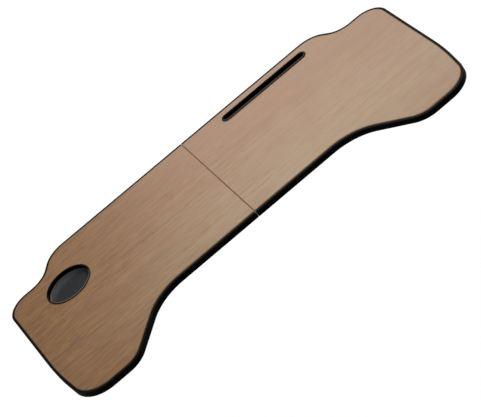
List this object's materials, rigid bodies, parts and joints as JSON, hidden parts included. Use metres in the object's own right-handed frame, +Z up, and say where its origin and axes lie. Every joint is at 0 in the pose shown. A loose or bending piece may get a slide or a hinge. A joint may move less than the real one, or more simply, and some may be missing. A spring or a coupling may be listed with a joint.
{
  "type": "folding steering wheel tray",
  "caption": "Wide folding tray table with a wood-grain top, black edge band, round cup well, tablet slot and a curved front cut-out, hinged to fold down in the middle.",
  "frame": {"origin": "on the ground under the middle of the open tray: the bottom centre of its bounding box", "axes": "+X along the tray's length to the user's right, +Y away from the user, +Z up"},
  "size_m": [0.6932, 0.351, 0.0184],
  "materials": {
    "wood_laminate": "matt wood-grain laminate",
    "fibreboard": "raw fibreboard",
    "black_moulding": "satin black",
    "foam_mat": "matt dark grey",
    "rubber": "matt black",
    "zinc_steel": "zinc plated"
  },
  "bodies": {
    "right_half": {"right_core_board": "fibreboard", "right_top_laminate": "wood_laminate", "right_bottom_laminate": "wood_laminate", "right_edge_band": "black_moulding", "right_seam_tape": "wood_laminate", "slot_liner": "black_moulding", "right_foot_1": "rubber", "right_foot_2": "rubber", "right_foot_3": "rubber", "right_foot_4": "rubber", "right_foot_screw_1": "zinc_steel", "right_foot_screw_2": "zinc_steel", "right_foot_screw_3": "zinc_steel", "right_foot_screw_4": "zinc_steel", "back_hinge_right_leaf": "zinc_steel", "front_hinge_right_leaf": "zinc_steel", "back_hinge_pin": "zinc_steel", "front_hinge_pin": "zinc_steel", "back_hinge_right_screw_1": "zinc_steel", "back_hinge_right_screw_2": "zinc_steel", "back_hinge_right_screw_3": "zinc_steel", "front_hinge_right_screw_1": "zinc_steel", "front_hinge_right_screw_2": "zinc_steel", "front_hinge_right_screw_3": "zinc_steel", "near_guide": "zinc_steel", "far_guide": "zinc_steel", "near_guide_screw_1": "zinc_steel", "near_guide_screw_2": "zinc_steel", "far_guide_screw_1": "zinc_steel", "far_guide_screw_2": "zinc_steel"},
    "left_half": {"left_core_board": "fibreboard", "left_top_laminate": "wood_laminate", "left_bottom_laminate": "wood_laminate", "left_edge_band": "black_moulding", "left_seam_tape": "wood_laminate", "cup_well": "black_moulding", "cup_mat": "foam_mat", "left_foot_1": "rubber", "left_foot_2": "rubber", "left_foot_3": "rubber", "left_foot_4": "rubber", "left_foot_screw_1": "zinc_steel", "left_foot_screw_2": "zinc_steel", "left_foot_screw_3": "zinc_steel", "left_foot_screw_4": "zinc_steel", "back_hinge_left_leaf": "zinc_steel", "front_hinge_left_leaf": "zinc_steel", "back_hinge_left_screw_1": "zinc_steel", "back_hinge_left_screw_2": "zinc_steel", "back_hinge_left_screw_3": "zinc_steel", "front_hinge_left_screw_1": "zinc_steel", "front_hinge_left_screw_2": "zinc_steel", "front_hinge_left_screw_3": "zinc_steel", "keeper": "zinc_steel", "keeper_spacer_1": "zinc_steel", "keeper_spacer_2": "zinc_steel", "keeper_screw_1": "zinc_steel", "keeper_screw_2": "zinc_steel"},
    "lock_slider": {"lock_bolt": "zinc_steel", "lock_knob": "zinc_steel"}
  },
  "joints": [
    {"name": "fold", "type": "hinge", "parent": "right_half", "child": "left_half", "pos_m": [0, 0.0415, 0.005], "axis": [0, -1, 0], "range_deg": [0, 178]},
    {"name": "lock_slide", "type": "slide", "parent": "right_half", "child": "lock_slider", "axis": [-1, 0, 0], "range_m": [0, 0.02]}
  ]
}
